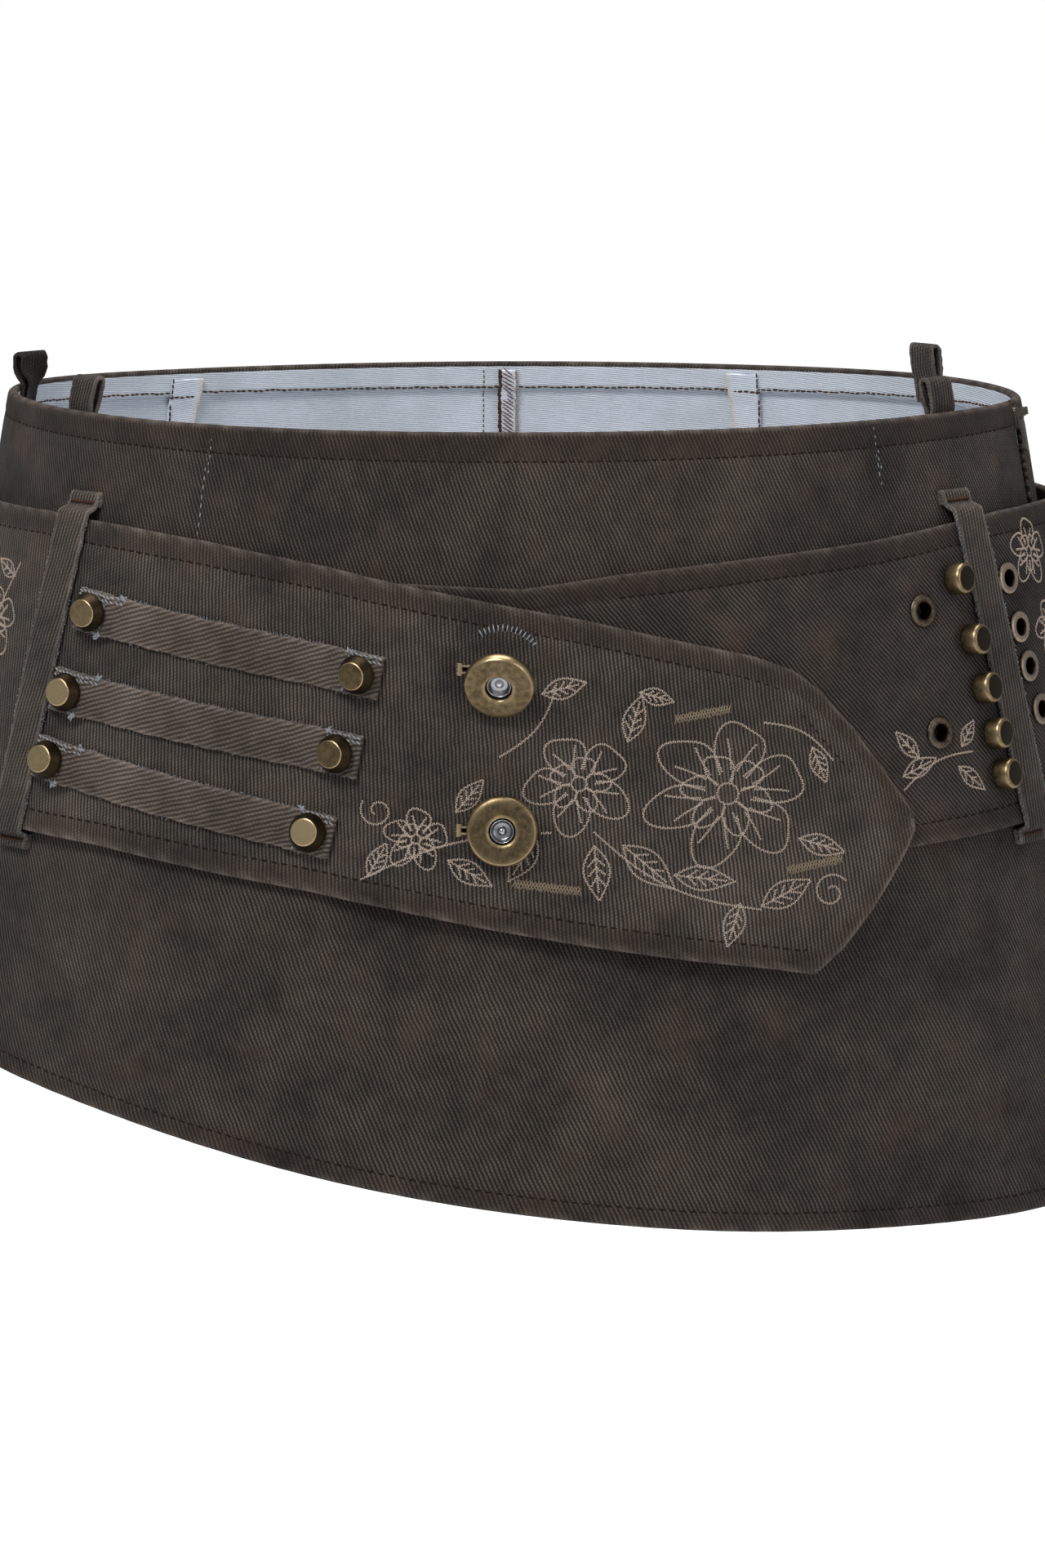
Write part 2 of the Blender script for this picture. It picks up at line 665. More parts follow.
def cloth_relief(angle, height, top, hem):
    """Puckers at the stitching, the darts' seams and faint creases of the worn cloth."""
    girth = girth_at(angle)
    drop = top - height
    rise = height - hem
    seam = waist_seam(angle)
    depth = -0.30 * trough(drop - seam, 0.9)
    waist_pucker = math.sin(girth * 0.93 + 1.6 * math.sin(girth * 0.17))
    depth += 0.10 * trough(drop - seam + 2.0, 2.4) * waist_pucker
    depth -= 0.32 * trough(rise - 5.0, 0.9)
    hem_pucker = math.sin(girth * 0.62 + 1.3 * math.sin(girth * 0.11))
    depth += 0.16 * trough(rise - 3.0, 3.6) * hem_pucker
    for dart in DARTS:
        if -height < -dart[3]:
            gap = girth - dart_middle(dart, height)
            fade = 1.0 - smooth(-height, -dart[3] * 0.55, -dart[3])
            depth -= 0.35 * fade * trough(gap, 1.2)
    broad = math.sin(girth * 0.043 + height * 0.031) * math.sin(girth * 0.019 - height * 0.047 + 1.0)
    low = smooth(-height, 125.0, 190.0)
    return depth + broad * (0.12 + 0.55 * low)


def panel_point(column, row):
    """Place of a panel's middle layer at an angle in degrees and a row."""
    kind, out, share = row
    angle = math.radians(column)
    top = waist_edge(angle)
    hem = hem_edge(angle)
    wall = top - 13.0 + (hem + 10.0 - top + 13.0) * share
    height = {"waist": top + share, "hem": hem + share, "wall": wall}[kind]
    closing = CLOSING_TURN * smooth(-height, ZIP_END - 8.0, ZIP_END + 6.0)
    if column < ZIP_FRONT_EDGE + 0.1:
        angle += math.radians(closing * smooth(column, ZIP_FRONT_EDGE - 15.0, ZIP_FRONT_EDGE))
    else:
        angle -= math.radians(closing * (1.0 - smooth(column, ZIP_BACK_EDGE, ZIP_BACK_EDGE + 15.0)))
    relief = cloth_relief(angle, height, top, hem)
    spot = (girth_at(math.radians(column)), height + 2.0 * min(out + 0.7, 0.0))
    uneven = 0.55 + 0.45 * math.sin(spot[0] * 0.7)
    rubbed = max(trough(top - height, 0.5), trough(height - hem, 0.8)) * uneven
    rim = max(1.0 - smooth(top - height, 5.6, 8.2), 0.6 * (1.0 - smooth(height - hem, 3.6, 6.4)))
    return place(angle, height, out + relief), spot, max(rubbed, 0.0), rim


def make_skirt():
    rows = panel_rows()
    inner_rows = set(range(5)) | set(range(len(rows) - 4, len(rows)))
    front_others = ("dart_front_left_fold", "dart_front_right_fold", "zip_tape_front_weave", "zip_teeth")
    side = math.degrees(PANEL_GAP / section(-80.0)[1])
    back = math.degrees(PANEL_GAP / section(-80.0)[0])
    # name, angle of each end, pieces that go with the panel
    panels = (
        ("skirt_front", LEFT_SEAM + side, ZIP_FRONT_EDGE, front_others),
        ("skirt_back_left", LEFT_SEAM - side, -180.0 + back, ("dart_back_left_fold", "back_seam_turnings")),
        ("skirt_back_right", ZIP_BACK_EDGE, 180.0 - back, ("dart_back_right_fold", "zip_tape_back_weave")),
    )
    for node, start, end, others in panels:
        columns = steps(start, end, 1.1)
        name = node + "_cloth"
        cloth = (SKIRT_TWILL, INSIDE)
        piece = sheet(name, columns, rows, panel_point, CLOTH, cloth, node, 0.0, inner_rows)


def below_band(height):
    """0 over the turned-in band at the waist, 1 below it."""
    return smooth(-height, 7.8, 10.4)


def make_darts():
    """Folds of the darts inside, each running up over the turned-in band."""
    for node, start, end, low, intake, way in DARTS:
        def point(column, row, start=start, end=end, low=low, intake=intake, way=way):
            angle = math.radians(start + (end - start) * row)
            height = -1.3 + (low + 1.3) * row
            shift = column * way * (intake + (1.2 - intake) * row)
            swell = 0.7 * trough(column - 1.0, 0.22) * (1.0 - row)
            out = -3.6 + 0.9 * below_band(height) - swell
            at = place(angle + shift / section(height)[0], height, out)
            return at, (column * intake, height), smooth(column, 0.86, 0.97), 0.0

        columns = (0.0, 0.2, 0.4, 0.6, 0.74, 0.84, 0.9, 0.95, 1.0)
        rows = steps(0.0, 1.0, 0.02)
        sheet(node + "_fold", columns, rows, point, 1.5, (INSIDE,), node, 0.4)


def make_allowance():
    """Turnings of the centre-back seam, pressed flat inside."""
    low = hem_edge(math.pi) + HEM_TURN + 1.5

    def point(column, row):
        height = -1.0 + (low + 1.0) * row
        wave = 0.12 * math.sin(height * 1.9 + column)
        out = -3.75 + 1.25 * below_band(height) + wave
        at = place(math.pi + (column + 0.3) / section(height)[0], height, out)
        return at, (column, height), 0.0, 0.0

    columns = steps(-2.8, 2.8, 0.7)
    rows = steps(0.0, 1.0, 0.012)
    node = "back_seam_allowance"
    sheet("back_seam_turnings", columns, rows, point, 1.3, (INSIDE,), node, 0.4)


def edges_at(edges, girth):
    """Top and bottom of a belt piece at a girth."""
    girths, tops, bottoms = zip(*edges)
    return lookup(girth, girths, tops), lookup(girth, girths, bottoms)


def belt_relief(girth, height, top, bottom):
    """Stitch lines sunk into the belt, puckers beside them and faint waves."""
    drop = top - height
    rise = height - bottom
    depth = -0.28 * (trough(drop - STITCH_INSET, 0.9) + trough(rise - STITCH_INSET, 0.9))
    pucker = math.sin(girth * 0.8 + 1.7 * math.sin(girth * 0.13))
    depth += 0.10 * pucker * (trough(drop - 4.0, 3.0) + trough(rise - 4.0, 3.0))
    wave = math.sin(girth * 0.07 + height * 0.05) * math.sin(girth * 0.031 - height * 0.09)
    return depth + 0.12 * wave


def belt_columns(edges, step):
    girths = [row[0] for row in edges]
    columns = [girths[0]]
    for start, end in zip(girths, girths[1:]):
        columns += steps(start, end, step)[1:]
    return columns


def belt_shares():
    """Rows down the belt, close together at its edges and stitch lines."""
    near = [0.0, 0.012, 0.03, 0.05, 0.062, 0.07, 0.078, 0.09, 0.11]
    far = [0.89, 0.91, 0.922, 0.93, 0.938, 0.95, 0.97, 0.988, 1.0]
    return near + steps(0.14, 0.86, 0.03) + far


def make_belt():
    def plain(girth, height):
        return under_middle(girth)

    belts = (
        ("belt_flap", FLAP_EDGES, flap_middle, BELT_TWILL),
        ("belt_underlap", UNDER_EDGES, plain, UNDER_TWILL),
        ("belt_back", BACK_EDGES, plain, BELT_TWILL),
    )
    for node, edges, middle, cloth in belts:
        def point(girth, share, edges=edges, middle=middle):
            top, bottom = edges_at(edges, girth)
            height = top + (bottom - top) * share
            out = middle(girth, height) + belt_relief(girth, height, top, bottom)
            near = min(top - height, height - bottom)
            if edges is FLAP_EDGES:
                near = min(near, 0.7 * (114.6 - girth))
            rubbed = trough(near, 1.1) * (0.6 + 0.4 * math.sin(girth * 0.9 + height * 1.3))
            dyed = 1.0 - smooth(near, 4.6, 8.0)
            return place(angle_at(girth), height, out), (girth, height), max(rubbed, 0.0), dyed

        columns = belt_columns(edges, 2.6)
        rows = belt_shares()
        piece = sheet(node + "_cloth", columns, rows, point, BELT, (cloth,), node, 0.9)
        finish_belt(piece, node)


def apply_modifiers(piece):
    graph = bpy.context.evaluated_depsgraph_get()
    mesh = bpy.data.meshes.new_from_object(piece.evaluated_get(graph))
    piece.modifiers.clear()
    piece.data = mesh


def rod_cutter(face, girth, height, radius):
    bm = bmesh.new()
    matrix = frame_on(face, girth, height, -0.5 * BELT)
    wide = radius * MM
    bmesh.ops.create_cone(
        bm, cap_ends=True, segments=24, radius1=wide, radius2=wide, depth=9.0 * MM, matrix=matrix)
    return bm


def slit_cutter(face, girth, height):
    bm = bmesh.new()
    matrix = frame_on(face, girth, height, -0.5 * BELT) @ Matrix.Translation((-6.0 * MM, 0.0, 0.0))
    bmesh.ops.create_cube(bm, size=1.0, matrix=matrix @ Matrix.Diagonal((12.0 * MM, 1.3 * MM, 9.0 * MM, 1.0)))
    return bm


def finish_belt(piece, node):
    """Cuts the eyelets' holes and the buttonholes, then keeps the result."""
    cutters = []
    if node == "belt_underlap":
        cutters = [rod_cutter(under_face, girth, height, 3.3) for _, girth, height, _ in EYELETS]
    if node == "belt_flap":
        for _, girth, height, _, _, _ in BUTTONS:
            cutters += [rod_cutter(flap_face, girth, height, 3.6), slit_cutter(flap_face, girth, height)]
    helpers = []
    for bm in cutters:
        mesh = bpy.data.meshes.new("hole")
        bm.to_mesh(mesh)
        bm.free()
        helper = bpy.data.objects.new("hole", mesh)
        bpy.context.scene.collection.objects.link(helper)
        helpers.append(helper)
        cut = piece.modifiers.new("hole", "BOOLEAN")
        cut.operation = "DIFFERENCE"
        cut.solver = "EXACT"
        cut.object = helper
    bpy.context.view_layer.update()
    apply_modifiers(piece)
    for helper in helpers:
        bpy.data.objects.remove(helper, do_unlink=True)


def folded_path(start, end, fold, low, high, raised, ramp, step):
    """Places along and out of a tape whose two ends are folded under it."""
    way = 1.0 if end > start else -1.0
    half = 0.5 * (high - low)
    path = [(start + way * fold, low), (start + way * fold * 0.5, low)]
    for across, up in fold_arc():
        path.append((start + way * half * (1.0 - up), 0.5 * (low + high) - half * across))
    path += [(start + way * along, high) for along in steps(2.0 * half, fold - 0.6, 2.0)]
    rise = [(0.25, 0.1), (0.5, 0.5), (0.75, 0.9)]
    for share, lift in rise:
        path.append((start + way * (fold - 0.6 + (ramp + 0.6) * share), high + (raised - high) * lift))
    inner = steps(start + way * (fold + ramp), end - way * (fold + ramp), step)
    path += [(along, raised) for along in inner]
    for share, lift in reversed(rise):
        path.append((end - way * (fold - 0.6 + (ramp + 0.6) * share), high + (raised - high) * lift))
    path += [(end - way * along, high) for along in reversed(steps(2.0 * half, fold - 0.6, 2.0))]
    for across, up in reversed(fold_arc()):
        path.append((end - way * half * (1.0 - up), 0.5 * (low + high) - half * across))
    path += [(end - way * fold * 0.5, low), (end - way * fold, low)]
    return path


def raw_edge(column, half, along):
    """Uneven raw edge, and how far it is rubbed."""
    share = smooth(abs(column), half - 1.2, half)
    return 0.18 * share * math.sin(along * 2.3 + column) * (1.0 if column > 0 else -1.0), share


def tape_columns(half):
    """Places across a tape, close together at its raw edges."""
    return [-half, -half + 0.5, -half + 1.2, -3.0, -1.0, 1.0, 3.0, half - 1.2, half - 0.5, half]


def loop_rise(ends):
    """How far a long loop's middle layer stands off the skirt, over the belt."""
    return under_middle(0.5 * (ends[0] + ends[1])) + 0.5 * BELT + 0.5 * TAPE + 0.6


def loop_girth(ends, height):
    share = (LOOP_TOP - height) / (LOOP_TOP - LOOP_BOTTOM)
    return ends[0] + (ends[1] - ends[0]) * share


def loop_face(ends):
    """Outside of a long loop: place by the distance across it and the height."""
    raised = loop_rise(ends)

    def face(across, height, out=0.0):
        near = min(LOOP_TOP - height, height - LOOP_BOTTOM)
        lift = 2.4 + (raised - 2.4) * smooth(near, LOOP_FOLD - 0.8, LOOP_FOLD + 1.6)
        return place(angle_at(loop_girth(ends, height) + across), height, lift + 0.5 * TAPE + out)

    return face


def make_long_loops():
    low = SEAM_GAP + 0.5 * TAPE
    high = low + TAPE + SEAM_GAP
    half = 0.5 * LOOP_WIDTH
    for node, *ends in LONG_LOOPS:
        rows = folded_path(LOOP_TOP, LOOP_BOTTOM, LOOP_FOLD, low, high, loop_rise(ends), 1.6, 2.0)

        def point(column, row, ends=ends):
            height, out = row
            shift, rubbed = raw_edge(column, half, height)
            girth = loop_girth(ends, height) + column + shift
            crown = 0.12 * (1.0 - (column / half) ** 2) + 0.08 * math.sin(height * 0.35)
            return place(angle_at(girth), height, out + crown), (column, height), rubbed, 0.0

        columns = tape_columns(half)
        piece = sheet(node + "_tape", columns, rows, point, TAPE, (LOOP_TWILL,), node, 0.25)


def make_waist_loops():
    closed = 0.5 * (TAPE + 0.6)
    opened = 0.5 * (TAPE + 2.0)
    middle = -2.0 * CLOTH - 2.0 * SEAM_GAP - 0.5 * TAPE - closed
    peak = 11.0 - opened - 0.5 * TAPE
    spread = opened - closed
    side = [(rise, closed + spread * smooth(rise, -1.0, 3.6)) for rise in steps(-8.0, peak, 1.4)]
    rows = side[:-1] + [(peak + opened * up, opened * across) for across, up in fold_arc(10)]
    rows += [(rise, -off) for rise, off in reversed(side[:-1])]
    lengths = [0.0]
    for before, after in zip(rows, rows[1:]):
        lengths.append(lengths[-1] + math.hypot(after[0] - before[0], after[1] - before[1]))
    half = 5.5
    columns = [-half, -5.0, -4.3, -3.0, -1.0, 1.0, 3.0, 4.3, 5.0, half]
    for node, degrees, lean, slant, top_turn in WAIST_LOOPS:
        angle = math.radians(degrees)
        width, depth = section(0.0)
        radius = math.hypot(width * math.cos(angle), depth * math.sin(angle))

        def point(column, row, data=(angle, radius, lean, slant, top_turn)):
            rise, off, length = row
            at, around, outward_lean, girth_lean, turn = data
            shift, rubbed = raw_edge(column, half, length)
            swing = math.radians(turn) * smooth(rise, 0.5, 6.0)
            share = smooth(rise, 0.0, 11.0)
            across = column + shift
            along = across * math.cos(swing) - off * math.sin(swing) + girth_lean * share
            out = across * math.sin(swing) + off * math.cos(swing) + outward_lean * share
            spot = place(at + along / around, waist_edge(at) + rise, middle + out)
            return spot, (column, length), rubbed, 0.0

        path = [(rise, off, length) for (rise, off), length in zip(rows, lengths)]
        cloth = LOOP_SHADE if node == "waist_loop_back_left" else LOOP_TWILL
        piece = sheet(node + "_tape", columns, path, point, TAPE, (cloth,), node, 0.25)


def strap_spot(strap, girth, across):
    """Girth and height of a point along and across a strap."""
    _, left, left_height, right, right_height = strap
    slope = (right_height - left_height) / (right - left)
    stretch = math.hypot(1.0, slope)
    return girth - slope * across / stretch, left_height + slope * (girth - left) + across / stretch


def strap_face(strap):
    """Outside of a strap: place by the distance along it and across it."""
    def face(girth, across, out=0.0):
        along, level = strap_spot(strap, girth, across)
        near = min(girth - strap[1], strap[3] - girth)
        lift = 2.4 - 1.5 * smooth(near, STRAP_FOLD - 0.6, STRAP_FOLD + 3.0)
        return place(angle_at(along), level, flap_middle(along, level) + 0.5 * BELT + lift + 0.5 * TAPE + out)

    return face


def make_straps():
    low = SEAM_GAP + 0.5 * TAPE
    high = low + TAPE + SEAM_GAP
    half = 0.5 * STRAP_WIDTH
    for strap in STRAPS:
        def point(column, row, strap=strap):
            girth, out = row
            shift, rubbed = raw_edge(column, half, girth)
            along, level = strap_spot(strap, girth, column + shift)
            crown = 0.14 * (1.0 - (column / half) ** 2) + 0.05 * math.sin(girth * 0.4)
            out += flap_middle(along, level) + 0.5 * BELT + crown
            return place(angle_at(along), level, out), (girth, column), rubbed, 0.0

        node = strap[0]
        rows = folded_path(strap[1], strap[3], STRAP_FOLD, low, high, low, 3.0, 2.2)
        columns = tape_columns(half)
        piece = sheet(node + "_tape", columns, rows, point, TAPE, (STRAP_TWILL,), node, 0.25)


# Turned metal

def turn_profile(name, profile, sides, matrix, material, node):
    """A profile of radius, height and rubbed share, turned once round its axis."""
    bm = bmesh.new()
    rubbed = bm.verts.layers.float.new("rubbed")
    verts = []
    for radius, height, share in profile:
        vert = bm.verts.new((radius * MM, 0.0, height * MM))
        vert[rubbed] = share
        verts.append(vert)
    edges = [bm.edges.new(pair) for pair in zip(verts, verts[1:])]
    if profile[0][0] > 0.0:
        edges.append(bm.edges.new((verts[-1], verts[0])))
    geom = verts + edges
    bmesh.ops.spin(
        bm, geom=geom, cent=(0, 0, 0), axis=(0, 0, 1), angle=math.tau, steps=sides, use_merge=True)
    bmesh.ops.remove_doubles(bm, verts=bm.verts, dist=0.001 * MM)
    bmesh.ops.recalc_face_normals(bm, faces=bm.faces)
    bmesh.ops.transform(bm, matrix=matrix, verts=bm.verts)
    link_mesh(name, bm, (material,), node)


def rounded(points, reach, count=3):
    """The profile with its corners rounded off, each point (radius, height, rubbed)."""
    made = []
    for index, point in enumerate(points):
        before = points[index - 1] if index else None
        after = points[index + 1] if index + 1 < len(points) else None
        if before is None or after is None:
            made.append(point)
            continue
        here = Vector(point[:2])
        back = Vector(before[:2]) - here
        on = Vector(after[:2]) - here
        start = here + back.normalized() * min(reach, 0.45 * back.length)
        end = here + on.normalized() * min(reach, 0.45 * on.length)
        for step in range(count + 1):
            share = step / count
            spot = start * (1 - share) ** 2 + here * (2 * share * (1 - share)) + end * share ** 2
            made.append((spot.x, spot.y, point[2]))
    return made


def tilted(matrix, sideways, down):
    lean = Matrix.Rotation(math.radians(down), 4, "X") @ Matrix.Rotation(math.radians(sideways), 4, "Y")
    return matrix @ lean


# radius, height, rubbed share, from the base's middle outwards and up to the cap's rim
TAPERED_SIDE = (
    (0.0, 0.3, 0.0), (5.5, 0.3, -0.5), (5.8, 0.9, -0.5), (5.5, 1.7, -0.5),
    (4.25, 4.0, -0.35), (4.0, 4.4, 0.55))
DRUM_SIDE = (
    (0.0, 0.3, -0.2), (4.6, 0.3, -0.2), (4.8, 0.8, -0.1), (4.75, 3.0, 0.05), (4.6, 5.0, 0.3), (4.1, 5.7, 0.2))


def tapered_profile(shine):
    return rounded(TAPERED_SIDE + ((3.7, 4.5, shine), (0.0, 4.5, shine)), 0.18)


def drum_profile(shine):
    return rounded(DRUM_SIDE + ((3.2, 5.9, shine), (0.0, 6.0, shine)), 0.35)


def make_studs():
    for studs, shape, on_strap in ((STRAP_STUDS, tapered_profile, True), (BELT_STUDS, drum_profile, False)):
        for node, girth, height, sideways, down, shine in studs:
            dip = (5.5 if on_strap else 4.6) * math.sin(math.radians(math.hypot(sideways, down)))
            face = flap_face if on_strap else under_face
            out = dip + (2.0 * TAPE + 2.0 * SEAM_GAP if on_strap else 0.0)
            matrix = tilted(frame_on(face, girth, height, out), sideways, down)
            turn_profile(node + "_cap", shape(shine), 40, matrix, BRASS, node)


def make_eyelets():
    for node, girth, height, shine in EYELETS:
        matrix = frame_on(under_face, girth, height, 0.0)
        ring = (
            (2.5, 0.8, -0.5), (2.6, 1.15, -0.3), (3.0, 1.3, shine - 0.1), (3.7, 1.3, shine - 0.05),
            (4.3, 1.2, shine),
            (4.8, 0.85, -0.1), (4.9, 0.6, -0.3), (4.8, 0.4, -0.4), (2.9, 0.4, -0.5), (2.9, -2.9, -0.3),
            (4.0, -2.9, 0.0), (4.0, -3.3, 0.0), (2.5, -3.3, -0.5))
        turn_profile(node + "_ring", ring, 44, matrix, EYELET_BRASS, node)


def make_buttons():
    # radius, height, rubbed share
    ring = (
        (3.9, 0.8, 0.0), (3.9, 3.9, 0.1), (3.98, 4.3, 0.7), (4.25, 4.5, 0.3), (5.2, 4.62, 0.0),
        (8.2, 4.5, 0.0), (9.3, 4.3, 0.05), (9.8, 4.05, 0.5), (10.15, 3.5, 0.75), (10.35, 2.6, 0.3),
        (10.4, 1.7, 0.0), (10.2, 1.0, 0.0), (9.6, 0.55, 0.0), (8.0, 0.35, 0.0))
    for node, girth, height, down, roll, stand in BUTTONS:
        matrix = frame_on(flap_face, girth, height, 0.0)
        matrix = matrix @ Matrix.Rotation(math.radians(-roll), 4, "Z")
        matrix = matrix @ Matrix.Rotation(math.radians(down), 4, "X")
        matrix = matrix @ Matrix.Translation((0.0, 0.0, stand * MM))
        turn_profile(node + "_ring", ring, 72, matrix, BRASS, node)
        depth = stand + BELT - SEAM_GAP
        core = rounded(
            ((0.0, -depth, 0.0), (1.8, -depth, 0.0), (1.8, 0.2, 0.0), (3.5, 0.8, 0.0),
             (3.55, 3.0, 0.2), (3.3, 3.2, 0.6), (2.9, 2.2, 0.1), (2.5, 1.5, 0.1),
             (1.4, 1.25, 0.3), (0.9, 2.0, 0.7), (0.5, 2.3, 0.9), (0.0, 2.35, 0.9)), 0.2)
        turn_profile(node + "_core_cup", core, 48, matrix, NICKEL, node + "_core")


# Threads

def bead(face, girth, height, out, turn, size):
    """Matrix of a rounded bead on a face, with its half length, half width and half height."""
    matrix = frame_on(face, girth, height, out) @ Matrix.Rotation(turn, 4, "Z")
    return matrix @ Matrix.Diagonal((size[0] * MM, size[1] * MM, size[2] * MM, 1.0))


def merge_beads(target, matrices):
    """Adds a small rounded bead for each matrix, a line at a time."""
    for first in range(0, len(matrices), 200):
        part = bmesh.new()
        for matrix in matrices[first:first + 200]:
            bmesh.ops.create_icosphere(part, subdivisions=1, radius=1.0, matrix=matrix)
        mesh = bpy.data.meshes.new("beads")
        part.to_mesh(mesh)
        part.free()
        target.from_mesh(mesh)
        bpy.data.meshes.remove(mesh)


def along_line(points, step):
    """Places and headings at even steps along a line of (girth, height) points."""
    places = []
    carried = 0.0
    for start, end in zip(points, points[1:]):
        gap = math.hypot(end[0] - start[0], end[1] - start[1])
        if gap < 1e-6:
            continue
        heading = math.atan2(end[1] - start[1], end[0] - start[0])
        distance = carried
        while distance < gap:
            share = distance / gap
            girth = start[0] + (end[0] - start[0]) * share
            height = start[1] + (end[1] - start[1]) * share
            places.append((girth, height, heading))
            distance += step
        carried = distance - gap
    return places


def stitches(face, points, pitch, length, width, high, out, wander=0.0):
    """Matrices of stitches laid end to end along a line on a face."""
    made = []
    for girth, height, heading in along_line(points, pitch):
        girth += SEED.uniform(-wander, wander)
        height += SEED.uniform(-wander, wander)
        turn = heading + SEED.uniform(-0.09, 0.09)
        made.append(bead(face, girth, height, out, turn, (0.5 * length, 0.5 * width, 0.5 * high)))
    return made


def thread_piece(name, matrices, material):
    bm = bmesh.new()
    merge_beads(bm, matrices)
    link_mesh(name, bm, (material,), None)


def relief_face(girth, height, out=0.0):
    """Outside of the skirt with its puckers."""
    angle = angle_at(girth)
    return place(angle, height, out + cloth_relief(angle, height, waist_edge(angle), hem_edge(angle)))


def edge_line(edge, offset, start, end, step=3.0):
    """Points at an offset up from the waist or hem edge, by girth."""
    return [(girth, edge(angle_at(girth)) + offset(angle_at(girth))) for girth in steps(start, end, step)]


def make_skirt_stitching():
    left = girth_at(math.radians(ZIP_BACK_EDGE)) - GIRTH_ROUND + 1.5
    right = girth_at(math.radians(ZIP_FRONT_EDGE)) - 1.5
    waist = edge_line(waist_edge, lambda angle: -waist_seam(angle), left, right)
    outer = stitches(relief_face, waist, 2.9, 2.3, 0.62, 0.34, 0.05, 0.06)
    hem = edge_line(hem_edge, lambda angle: 5.0, left, right)
    outer += stitches(relief_face, hem, 2.9, 2.3, 0.62, 0.34, 0.05, 0.06)
    thread_piece("skirt_topstitching", outer, DARK_THREAD)
    inner = stitches(relief_face, waist, 2.2, 2.1, 0.7, 0.45, BAND_FACE - 0.08, 0.16)
    inner += stitches(relief_face, hem, 2.4, 2.1, 0.55, 0.4, BAND_FACE - 0.08, 0.12)
    thread_piece("skirt_inner_stitching", inner, INNER_THREAD)


def make_dart_stitching():
    pale = []
    inner = []
    for dart in DARTS:
        heights = steps(-1.5, dart[3] + 4.0, 3.0)
        line = [(dart_middle(dart, height), height) for height in heights]
        if "front" in dart[0]:
            pale += stitches(relief_face, line, 2.7, 1.9, 0.42, 0.3, 0.0, 0.2)
            side = [(girth + 0.9, height) for girth, height in line if height > -16.0]
            pale += stitches(relief_face, side, 2.3, 1.2, 0.38, 0.3, 0.0, 0.25)
        else:
            top = [point for point in line if point[1] > -9.0]
            inner += stitches(skirt_face, top, 1.8, 1.9, 0.6, 0.45, -4.4, 0.12)
            low = [(girth, height) for girth, height in line if height < -9.0]
            inner += stitches(skirt_face, low, 2.0, 2.1, 0.75, 0.5, -CLOTH - SEAM_GAP - 2.0, 0.2)
            start = line[0][0]
            across = [(start + dart[5] * shift, -7.0) for shift in steps(0.0, dart[4] - 1.0, 2.0)]
            inner += stitches(skirt_face, across, 2.2, 2.1, 0.7, 0.45, -4.5, 0.16)
    thread_piece("dart_stitching", pale, PALE_THREAD)
    thread_piece("inner_seam_stitching", inner, INNER_THREAD)


def make_side_line():
    """A thin line of stitches beside the centre-back seam, inside."""
    girth = girth_at(math.pi) + 9.0
    side = []
    for start, end, out in ((-1.5, -8.5, BAND_FACE - 0.1), (-9.5, hem_edge(math.pi) + 9.0, -CLOTH - 0.1)):
        line = [(girth, height) for height in steps(start, end, 2.0)]
        side += stitches(skirt_face, line, 1.7, 1.4, 0.45, 0.32, out, 0.1)
    thread_piece("back_seam_side_stitching", side, RUST_THREAD)


def make_overlock():
    """Slanting loops along the centre-back turnings, with a thick dark and a thin tan edge."""
    back = girth_at(math.pi)
    bottom = hem_edge(math.pi) + 9.0
    slanting = []
    for height in steps(-1.6, bottom, 1.3):
        out = -4.5 + 1.2 * below_band(height)
        turn = math.radians(36.0) + SEED.uniform(-0.12, 0.12)
        slanting.append(bead(skirt_face, back + 0.4, height, out, turn, (2.7, 0.24, 0.26)))
    thread_piece("back_seam_overlock", slanting, RUST_THREAD)
    for name, shift, wide, material in (("dark", 3.2, 0.75, INNER_THREAD), ("tan", -2.5, 0.4, TAN_THREAD)):
        edge = []
        for height in steps(-1.6, bottom, 1.5):
            out = -4.4 + 1.2 * below_band(height)
            girth = back + shift + SEED.uniform(-0.25, 0.25)
            edge.append(bead(skirt_face, girth, height, out, 0.0, (wide * SEED.uniform(0.7, 1.2), 1.15, 0.4)))
        thread_piece("back_seam_" + name + "_edge", edge, material)


def inset(points, distance):
    """The line moved to its left by a distance, with mitred corners."""
    moved = []
    for index, point in enumerate(points):
        before = points[max(index - 1, 0)]
        after = points[min(index + 1, len(points) - 1)]
        start = Vector((point[0] - before[0], point[1] - before[1]))
        end = Vector((after[0] - point[0], after[1] - point[1]))
        start = (start if start.length > 1e-6 else end).normalized()
        end = (end if end.length > 1e-6 else start).normalized()
        normal = Vector((-start.y - end.y, start.x + end.x)).normalized()
        reach = distance / max(0.5, normal.dot(Vector((-start.y, start.x))))
        moved.append((point[0] + normal.x * reach, point[1] + normal.y * reach))
    return moved


def make_belt_stitching():
    upper = [(girth, top) for girth, top, _ in FLAP_EDGES[:12]]
    lower = [(girth, bottom) for girth, _, bottom in FLAP_EDGES[:12]]
    outline = upper + [(116.2, -116.0)] + lower[::-1]
    line = inset(outline, -STITCH_INSET)
    dense = [(girth, height) for girth, height, _ in along_line(line, 2.0)]
    flap = stitches(flap_face, dense, *BELT_STITCH, -0.16, 0.05)
    thread_piece("flap_topstitching", flap, DARK_THREAD)
    under = []
    for edges in (UNDER_EDGES[2:], BACK_EDGES):
        top = [(girth, high - STITCH_INSET) for girth, high, _ in edges]
        bottom = [(girth, low + STITCH_INSET) for girth, _, low in edges]
        under += stitches(under_face, top, *BELT_STITCH, -0.16, 0.05)
        under += stitches(under_face, bottom, *BELT_STITCH, -0.16, 0.05)
    thread_piece("belt_topstitching", under, DARK_THREAD)


